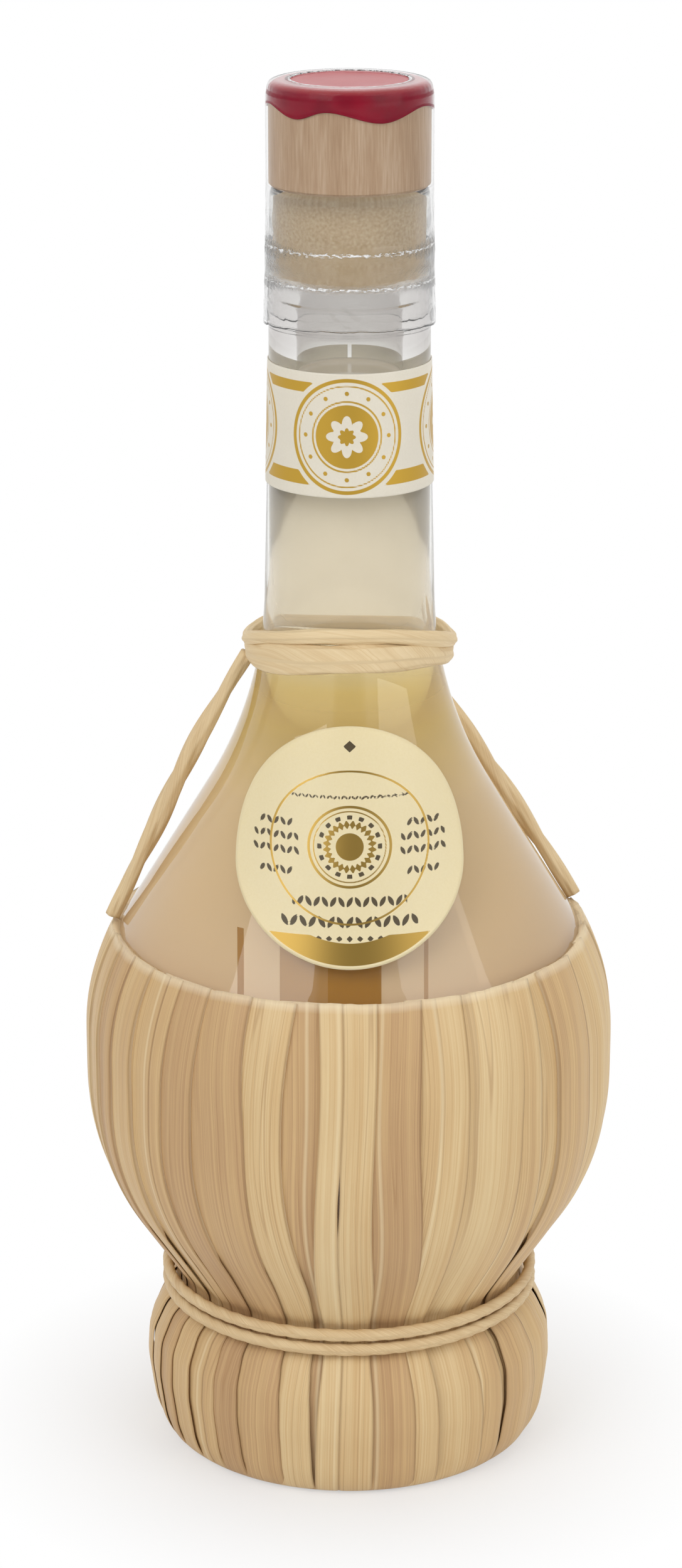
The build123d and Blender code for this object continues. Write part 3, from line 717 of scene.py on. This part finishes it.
def shoulder_label():
    """An egg shaped sheet on the shoulder, drawn as rings that shrink to its middle.

    A point at angle a and share q of the egg's edge lies at x = q EGG_HALF_WIDTH cos a and at a
    height q sin a times EGG_RISE above, or EGG_DROP below, the widest place. Its y follows the
    glass. Foil: three thin rings, a disc with rays, and a crescent below. Ink: rows of leaves,
    a ring of dashes, a lozenge above and a row of small ones below.
    """
    angle = np.linspace(0, 2 * np.pi, 240, endpoint=False)
    share = np.concatenate([np.linspace(0.004, 0.97, 96), [1.0]])[:, None]
    across = share * EGG_HALF_WIDTH * np.cos(angle)
    tall = np.where(np.sin(angle) > 0, EGG_RISE, EGG_DROP)
    height = EGG_WIDEST + share * tall * np.sin(angle)
    layers = []
    for grow in (PAPER_INSIDE, PAPER_OUTSIDE):
        radius = wall_radius(height) + grow
        layers.append(np.stack([across, -np.sqrt(radius ** 2 - across ** 2), height], -1))
    up = (height - PRINT_MIDDLE) / np.cos(SLOPE)
    distance, turn = np.hypot(across, up), np.arctan2(up, across)
    foil = [ring_line(distance, *ring) for ring in ((14.6, 0.4), (7.6, 0.5), (6.7, 0.25))]
    foil += [2.6 - distance, ring_line(distance, 4.2, 1.6) - 0.35 * (1 + np.cos(24 * turn))]
    crescent = np.minimum(np.hypot(across / 1.25, height - 128.6) - 14.6, (1 - share) * EGG_DROP - 0.6)
    foil.append(np.minimum(crescent, 115.2 - height))
    ink = [leaf_row(across, up, *row) for row in ((-10.4, 10.6, 2.3), (-14.2, 12.6, 2.6), (9.4, 11.0, 1.0))]
    for side in (-1, 1):
        for row, reach in ((4.0, 3.0), (1.4, 4.1), (-1.2, 4.4), (-5.0, 3.2)):
            ink.append(leaf_row(across - side * 13.6, up, row, reach, 1.9))
    ink.append(np.minimum(0.4 - np.abs(distance - 5.6), np.cos(16 * turn) * 0.5 - 0.1))
    ink.append(lozenge(across, up - 19.6, 1.2))
    ink += [lozenge(across - 1.9 * step, up + 17.3, 0.6) for step in range(-3, 4)]
    facts = {}
    for key, lines in (("foil", foil), ("ink", ink)):
        inside = np.max(lines, 0)
        facts[key] = np.concatenate([np.full_like(inside, BARE), inside[::-1]])
    return np.concatenate([layers[0], layers[1][::-1]]), facts


grid, facts = shoulder_label()
ring_piece("shoulder_label", grid, front_print, "front_label", "label_paper", facts=facts,
           poles=(grid[0].mean(0), grid[-1].mean(0)))

# Straw basket

STANDOFF, BASKET_TOP, LEAVE = 1.05, 104.6, 47.5
WAIST, WAIST_BAND, WAIST_LINE = 33.4, 5.0, 32.0
FOOT, FOOT_LINE, SOLE, TUCK = 39.4, 14.5, 36.0, 30.0
STRIPS = 36
ACROSS = np.linspace(-1, 1, 17)     # places of a strip's points from edge to edge
LAYER = 0.5               # an edge lies this far above or below the middle of the straw
SKIN = 0.32               # thickness of the leaf
NO_RIB = 9.0              # a distance from the midrib at which none shows


def strip_line():
    """Radius and height of the straw's middle, from the rim to the tuck, with softened bends."""
    heights = np.linspace(BASKET_TOP, LEAVE, 30)
    line = list(zip(wall_radius(heights) + STANDOFF, heights))
    line += [(WAIST, WAIST_LINE + WAIST_BAND / 2), (WAIST, WAIST_LINE - WAIST_BAND / 2)]
    line += [(WAIST + out * (FOOT - WAIST), up * WAIST_LINE) for up, out in ((0.84, 0.49), (0.66, 0.93))]
    line.append((FOOT, FOOT_LINE))
    line += [(SOLE + out * (FOOT - SOLE), up * FOOT_LINE) for up, out in ((0.41, 0.65), (0.14, 0.26))]
    line += [(SOLE, 0.45), (TUCK, 0.3)]
    return soften(line, 0.75, 1.0)


def line_frame(line):
    """How far along a line of radius and height each point lies, and the directions down the
    line and out of the basket.
    """
    ahead = unit(np.gradient(line, axis=0))
    outward = np.stack([-ahead[:, 1], ahead[:, 0]], -1)
    return distances(line)[:, None], ahead, outward * np.sign(outward[:1, 0])


def out_and_back(outside, inside=None):
    """The columns of one side, and then those of the other, or of the same, in reverse."""
    return np.concatenate([outside, (outside if inside is None else inside)[:, ::-1]], 1)


def straw_strip(number, line, lower_edges, random):
    """One strip of split leaf: a thin closed band carried down the line.

    Across the band a point's angle is the strip's own angle plus its offset over the radius, so
    the band wraps the basket. Its distance from the line is the layer that its two edges lie in,
    blended across with a smooth step, plus low ridges that run its whole length. In one strip
    of five a slit divides the band in two over a stretch, by a gap shaped like a lens. Where
    the straw touches the glass, the strip's inside is laid on it.
    """
    line_radius, line_height = line[:, :1], line[:, 1:]
    along, ahead, outward = line_frame(line)
    share = along / along[-1]
    pinch = 1 - 0.24 * bell(line_height, WAIST_LINE, 9)
    half_width = random.uniform(9.6, 14.5) * pinch * (1 + 0.06 * drift(5 * share, number)) / 2
    middle = np.radians(360 / STRIPS * number + random.uniform(-2.6, 2.6)
                        + 2.0 * drift(3 * share, number + 100) * (1 - 0.4 * share))
    left, right = lower_edges[number], lower_edges[(number + 1) % STRIPS]
    edges = LAYER * np.array([-1.0 if left > 0 else 1.0, 1.0 if right > 0 else -1.0])
    slit = random.uniform(-0.5, 0.5)
    open_at, open_over = random.uniform(0.15, 0.75), random.uniform(0.05, 0.12)
    ridge = random.uniform(0, 2 * np.pi, 3)
    fold = random.uniform(-0.6, 0.6)
    tone = random.choice([0.2, 0.28, 0.36, 0.45, 0.55])
    ribbed = random.random() < 0.4
    bands = [(-1.0, 1.0)]
    if number % 5 == 2:
        gap = np.maximum(0.045 * bell(share, open_at, open_over) - 0.012, 0)
        bands = [(-1.0, slit - gap), (slit + gap, 1.0)]
    thick = SKIN / 2 * (1 - 0.7 * ACROSS ** 8)
    # Straw is flat under the sole, and touches the glass above LEAVE
    raised = smooth_step((line_height - 0.5) / 4)
    touching = smooth_step((line_height - LEAVE - 1) / 5)
    tubes = []
    for start, end in bands:
        place = start + (end - start) * np.linspace(0, 1, len(ACROSS))
        across = place * half_width
        layer = edges[0] + (edges[1] - edges[0]) * smooth_step((place + 1) / 2)
        low = (0.07 * np.sin(5 * place + ridge[0]) + 0.05 * np.sin(11 * place + ridge[1])
               + 0.05 * np.sin(2 * place + 9 * share + ridge[2]) - 0.16 * np.abs(place - fold))
        lift = (layer * 0.9 + low) * raised
        # The cut ends at the rim stand unevenly
        rim = (0.12 * np.sin(2.1 * number) + 0.15 * drift(4 * place + number, 7)
               + 0.15 * place * np.sin(3.3 * number)) * np.exp(-along / 3.5)
        angle = middle + across / np.maximum(line_radius, 1)
        sheets = []
        for side in (1, -1):
            off = lift + side * thick
            if side < 0:
                off += touching * (-STANDOFF * outward[:, :1] - 0.06 - off)
            radius = line_radius + outward[:, :1] * off + ahead[:, :1] * rim
            height = line_height + outward[:, 1:] * off + ahead[:, 1:] * rim
            sheets.append(round_axis(radius, angle, np.maximum(height, 0.01)))
        none = 0 * across
        rib = across - fold * half_width if ribbed else none + NO_RIB
        edge = np.minimum(place - start, end - place) * half_width
        tubes.append((out_and_back(*sheets), {
            "weave": out_and_back(np.stack([across, along + none, number * 1.37 + none], -1)),
            "marks": out_and_back(np.stack([rib, edge, none], -1)),
            "inner": out_and_back(none, touching + none)}))
    tube_piece(f"sedge_strip_{number + 1:02d}", tubes, sedge, f"straw_strip_{number + 1:02d}",
               "sedge_straw", way=-1, tone=tone)


random = np.random.default_rng(31)
straw_line = strip_line()
lower_edges = random.choice([-1, 1], STRIPS, p=[0.3, 0.7])
for number in range(STRIPS):
    straw_strip(number, straw_line, lower_edges, random)

# Cords

CORD_STEPS = 28           # points round a cord
# A winding's radius, the heights of its two turns, how many degrees from the knot its tails
# leave the circle, and how far the knot is turned from the back
WAIST_WINDING = {"radius": 35.9, "high": 33.6, "low": 30.6, "lead": 27, "turn": 0}
NECK_WINDING = {"radius": 18.8, "high": 162.7, "low": 158.4, "lead": 38, "turn": -25}
# Height and width of the neck's two turns by angle, first the upper one
UPPER_TURN = ((-180, 161.4, 3.0), (-90, 161.2, 2.6), (-55, 164.6, 2.6), (-15, 166.9, 2.9),
              (25, 166.6, 3.1), (60, 163.8, 3.0), (90, 160.8, 2.9), (130, 160.9, 3.0), (180, 161.4, 3.0))
LOWER_TURN = ((-180, 158.2, 3.2), (-120, 158.6, 4.4), (-90, 159.4, 5.4), (-45, 161.2, 6.2),
              (0, 162.7, 6.0), (40, 161.9, 4.8), (75, 159.4, 3.4), (110, 158.0, 3.0), (180, 158.2, 3.2))
LEFT_STAY = ((-19.2, 0.5, 158.2), (-25.9, 0.2, 147.0), (-32.0, -0.3, 135.2), (-37.3, 0.1, 123.4),
             (-42.4, 0.6, 112.6), (-45.7, 0.3, 105.5))
RIGHT_STAY = ((10.1, 21.4, 157.4), (16.4, 20.6, 146.0), (24.4, 17.4, 134.6), (31.8, 15.7, 124.0),
              (38.9, 14.0, 113.6), (44.0, 12.6, 105.5))


def knot_place(course, height):
    """Where the tails of a winding meet at a height: radius / cos lead from the axis."""
    away = course["radius"] / np.cos(np.radians(course["lead"]))
    return round_axis(away, np.radians(90 + course["turn"]), height)


def winding(course):
    """Points of two turns round the axis, from the knot and back: tail, turn, turn, tail.

    At the back a smooth step leads from the high turn to the low one.
    """
    high, low, lead, back = course["high"], course["low"], course["lead"], 90 + course["turn"]
    cross, tail = 15, 1.8
    angle = np.arange(back - lead, back - lead - (720 - 2 * lead), -1.5)
    step = smooth_step(((back - 360 + cross) - angle) / (2 * cross))
    ring = round_axis(course["radius"], np.radians(angle), high + (low - high) * step)
    ends = []
    for touch, level in ((ring[0], high), (ring[-1], low)):
        start = knot_place(course, level)
        ends.append(start + (touch - start) / np.linalg.norm(touch - start) * tail)
    return np.vstack([ends[0], ring, ends[1]])


def neck_turns():
    """The neck's winding with its heights taken from the tables, and its width.

    A smooth step leads from the upper turn's table to the lower one's. The upper turn stands out
    by 0.5 mm, and comes in again by up to 0.8 mm where it lies higher on the throat.
    """
    radius, high, low = (NECK_WINDING[key] for key in ("radius", "high", "low"))
    path = winding(NECK_WINDING)
    front = np.degrees(np.arctan2(path[:, 0], -path[:, 1]))
    share = smooth_step((high - path[:, 2:]) / (high - low))
    upper, lower = (
        np.stack([np.interp(front, marks[:, 0], values) for values in marks[:, 1:].T], -1)
        for marks in (np.array(UPPER_TURN), np.array(LOWER_TURN)))
    path[:, 2], wide = blurred((1 - share) * upper + share * lower, 6).T
    lean_in = np.clip((path[:, 2:] - 162) / 6, 0, 1) * 0.8 * (1 - share)
    path[:, :2] *= 1 - (lean_in - 0.5 * (1 - share)) / radius
    return path, wide


def carried(path, wide, deep, lobes, twist, groove, pleat=0.0):
    """A tube along a path. Its section is an oval with lobes that wind round as it goes along.

    At angle a round the section and distance d along, the oval's reach is scaled by
    1 - groove (1 - |cos(lobes (a - 2 pi d / twist) / 2)|), which leaves sharp furrows, plus
    pleat sin(7 a + 0.12 d). The oval's wide axis stays upright, and its deep axis points away
    from the bottle's axis.
    """
    ahead = unit(np.gradient(path, axis=0))
    out = unit(path * [1, 1, 0])
    out = unit(out - ahead * (out * ahead).sum(1, keepdims=True))
    up = np.cross(out, ahead)
    up *= np.sign(up[:, 2].sum())
    along = distances(path)[:, None]
    angle = np.linspace(0, 2 * np.pi, CORD_STEPS, endpoint=False)
    phase = angle - 2 * np.pi * along / twist
    reach = 1 - groove * (1 - np.abs(np.cos(lobes * phase / 2))) + pleat * np.sin(7 * angle + 0.12 * along)
    wide, deep = (np.broadcast_to(size, len(path))[:, None] for size in (wide, deep))
    grid = (path[:, None] + up[:, None] * (reach * wide / 2 * np.sin(angle))[..., None]
            + out[:, None] * (reach * deep / 2 * np.cos(angle))[..., None])
    weave = np.stack([phase * (wide + deep) / 4, along + 0 * phase, 0 * phase], -1)
    if np.cross(up[0], out[0]) @ ahead[0] < 0:
        grid, weave = grid[:, ::-1], weave[:, ::-1]
    return grid, {"weave": weave}


def route_points(name, route):
    """Points along a smooth curve that takes the route's points as its control points."""
    curve = bpy.data.curves.new(name, "CURVE")
    curve.dimensions = "3D"
    curve.resolution_u = 16
    spline = curve.splines.new("NURBS")
    spline.points.add(len(route) - 1)
    spline.points.foreach_set("co", np.hstack([np.array(route) * MM, np.ones((len(route), 1))]).ravel())
    spline.order_u = 3
    spline.use_endpoint_u = True
    holder = new_object(name, curve)
    bpy.context.view_layer.update()
    mesh = bpy.data.meshes.new_from_object(holder)
    points = np.empty(len(mesh.vertices) * 3)
    mesh.vertices.foreach_get("co", points)
    bpy.data.objects.remove(holder)
    bpy.data.curves.remove(curve)
    bpy.data.meshes.remove(mesh)
    return resample(points.reshape(-1, 3) / MM, 0.7)


def tied_knot(name, node, centre, half_height, tone):
    """A lump of raffia wound over itself: an egg whose skin has slanting furrows.

    At angle a round it and angle t up it, its half width is scaled by cos t and by
    1 - 0.13 (1 - |cos(2.5 a + 2.2 t)|).
    """
    half_width = 2.9
    tip = np.linspace(-np.pi / 2, np.pi / 2, 26)[1:-1, None]
    angle = np.linspace(0, 2 * np.pi, 40, endpoint=False)
    furrow = 1 - 0.13 * (1 - np.abs(np.cos(2.5 * angle + 2.2 * tip)))
    rise = half_height * np.sin(tip) * (0.9 + 0.1 * furrow)
    grid = round_axis(half_width * np.cos(tip) * furrow, angle, rise) + centre
    weave = np.stack(np.broadcast_arrays(angle * half_width, half_height * tip + 2 * angle, 5.0), -1)
    tips = [centre + [0, 0, side * half_height * 0.95] for side in (-1, 1)]
    ring_piece(name, grid, raffia, node, "raffia", poles=tips, facts={"weave": weave}, tone=tone)


waist_raffia = carried(winding(WAIST_WINDING), 2.5, 2.1, 3, 11.0, 0.16)
tube_piece("waist_raffia", [waist_raffia], raffia, "waist_cord", "raffia", tone=0.5)
neck_path, neck_width = neck_turns()
neck_raffia = carried(neck_path, neck_width, 2.1, 2, 44.0, 0.2, pleat=0.08)
tube_piece("neck_raffia", [neck_raffia], raffia, "neck_cord", "raffia", tone=0.3)
for side, route in (("left", LEFT_STAY), ("right", RIGHT_STAY)):
    path = route_points(f"{side}_raffia_stay_route", route)
    swell = 3.4 + 1.2 * np.sin(np.pi * np.linspace(0, 1, len(path))) ** 2
    stay = carried(path, swell, swell * 0.85, 2, 38.0, 0.3, pleat=0.05)
    tube_piece(f"{side}_raffia_stay", [stay], raffia, f"{side}_stay", "raffia", tone=0.42)
tied_knot("waist_raffia_knot", "waist_knot", knot_place(WAIST_WINDING, 32.1), 3.5, 0.55)
tied_knot("neck_raffia_knot", "neck_knot", knot_place(NECK_WINDING, 160.5), 5.0, 0.45)

# Stage, light and camera


def seen_directly(tree):
    """1 for what the camera, glass and gloss show, 0 for the light that falls on things.

    A ray that has left a matt surface counts as light, also when glass has bent it since.
    """
    rays = add(tree, "LightPath").outputs
    seen = rays["Is Camera Ray"]
    for kind in ("Is Glossy Ray", "Is Transmission Ray"):
        seen = add(tree, "Math", seen, rays[kind], operation="MAXIMUM")
    early = add(tree, "Math", rays["Diffuse Depth"], 0.5, operation="LESS_THAN")
    return add(tree, "Math", seen, early, operation="MULTIPLY")


def white_floor():
    """Painted board: matt white. Seen directly it glows white, less so near the bottle, whose
    shadow it keeps: the glow's share grows from 0.5 at 40 mm from the axis to 1 at 80 mm.
    """
    material, tree, shader = new_material("matt_white_floor", {
        "Base Color": paint(0.9), "Roughness": 0.9, "Specular IOR Level": 0.1})
    away = add(tree, "VectorMath", add(tree, "TexCoord").outputs["Object"], operation="LENGTH")
    glow = add(tree, "MapRange", away, 0.04, 0.08, 0.5, 1.0)
    glow = add(tree, "Math", glow, seen_directly(tree), operation="MULTIPLY")
    plain = add(tree, "Emission", paint(1.0), 1.0)
    feed(tree.nodes["Material Output"], {"Surface": add(tree, "MixShader", glow, shader, plain)})
    return material


floor_mesh = bpy.data.meshes.new("floor")
floor_mesh.from_pydata([(-4, -4, 0), (4, -4, 0), (4, 6, 0), (-4, 6, 0)], [], [(0, 1, 2, 3)])
floor_mesh.materials.append(white_floor())
floor = new_object("floor", floor_mesh)

world = bpy.data.worlds.new("studio")
bpy.context.scene.world = world
world.use_nodes = True
tree = world.node_tree
tree.nodes.clear()
soft_light = add(tree, "Background", paint(1.0), 0.5)
backdrop = add(tree, "Background", paint(1.0), 1.0)
# Between the two white side screens is a darker gap, which gloss shows as an upright band
way = add(tree, "SeparateXYZ", add(tree, "TexCoord").outputs["Generated"]).outputs
front = add(tree, "Math", way["Y"], -1.0, operation="MULTIPLY")
bearing = add(tree, "Math", way["X"], front, operation="ARCTAN2")
bearing = add(tree, "Math", bearing, operation="ABSOLUTE")
screen = add(tree, "MapRange", bearing, 0.3, 0.36)
not_gloss = add(tree, "Math", 1.0, add(tree, "LightPath").outputs["Is Glossy Ray"], operation="SUBTRACT")
screen = add(tree, "Math", screen, not_gloss, operation="MAXIMUM")
screen = add(tree, "Math", screen, seen_directly(tree), operation="MULTIPLY")
add(tree, "OutputWorld", add(tree, "MixShader", screen, soft_light, backdrop))

for name, place, size, power in (("key_light", (-0.7, -0.75, 0.85), 0.8, 5.5),
                                 ("fill_light", (0.8, -0.6, 0.6), 0.8, 3.6),
                                 ("top_light", (0.1, 0.35, 1.1), 0.9, 3.2)):
    lamp = bpy.data.lights.new(name, "AREA")
    lamp.size, lamp.energy = size, power
    light = new_object(name, lamp)
    light.visible_transmission = False
    light.location = place
    aim = Vector((0, 0, 0.13)) - light.location
    light.rotation_euler = aim.to_track_quat("-Z", "Y").to_euler()

camera_data = bpy.data.cameras.new("camera")
camera_data.sensor_fit = "VERTICAL"
camera_data.sensor_height = 36.0
camera_data.lens = 92.16
camera = new_object("camera", camera_data)
camera.location = (-0.0016, -0.7296, 0.3693)
camera.rotation_euler = (np.radians(72), 0, 0)
bpy.context.scene.camera = camera
bpy.context.scene.view_settings.view_transform = "Standard"
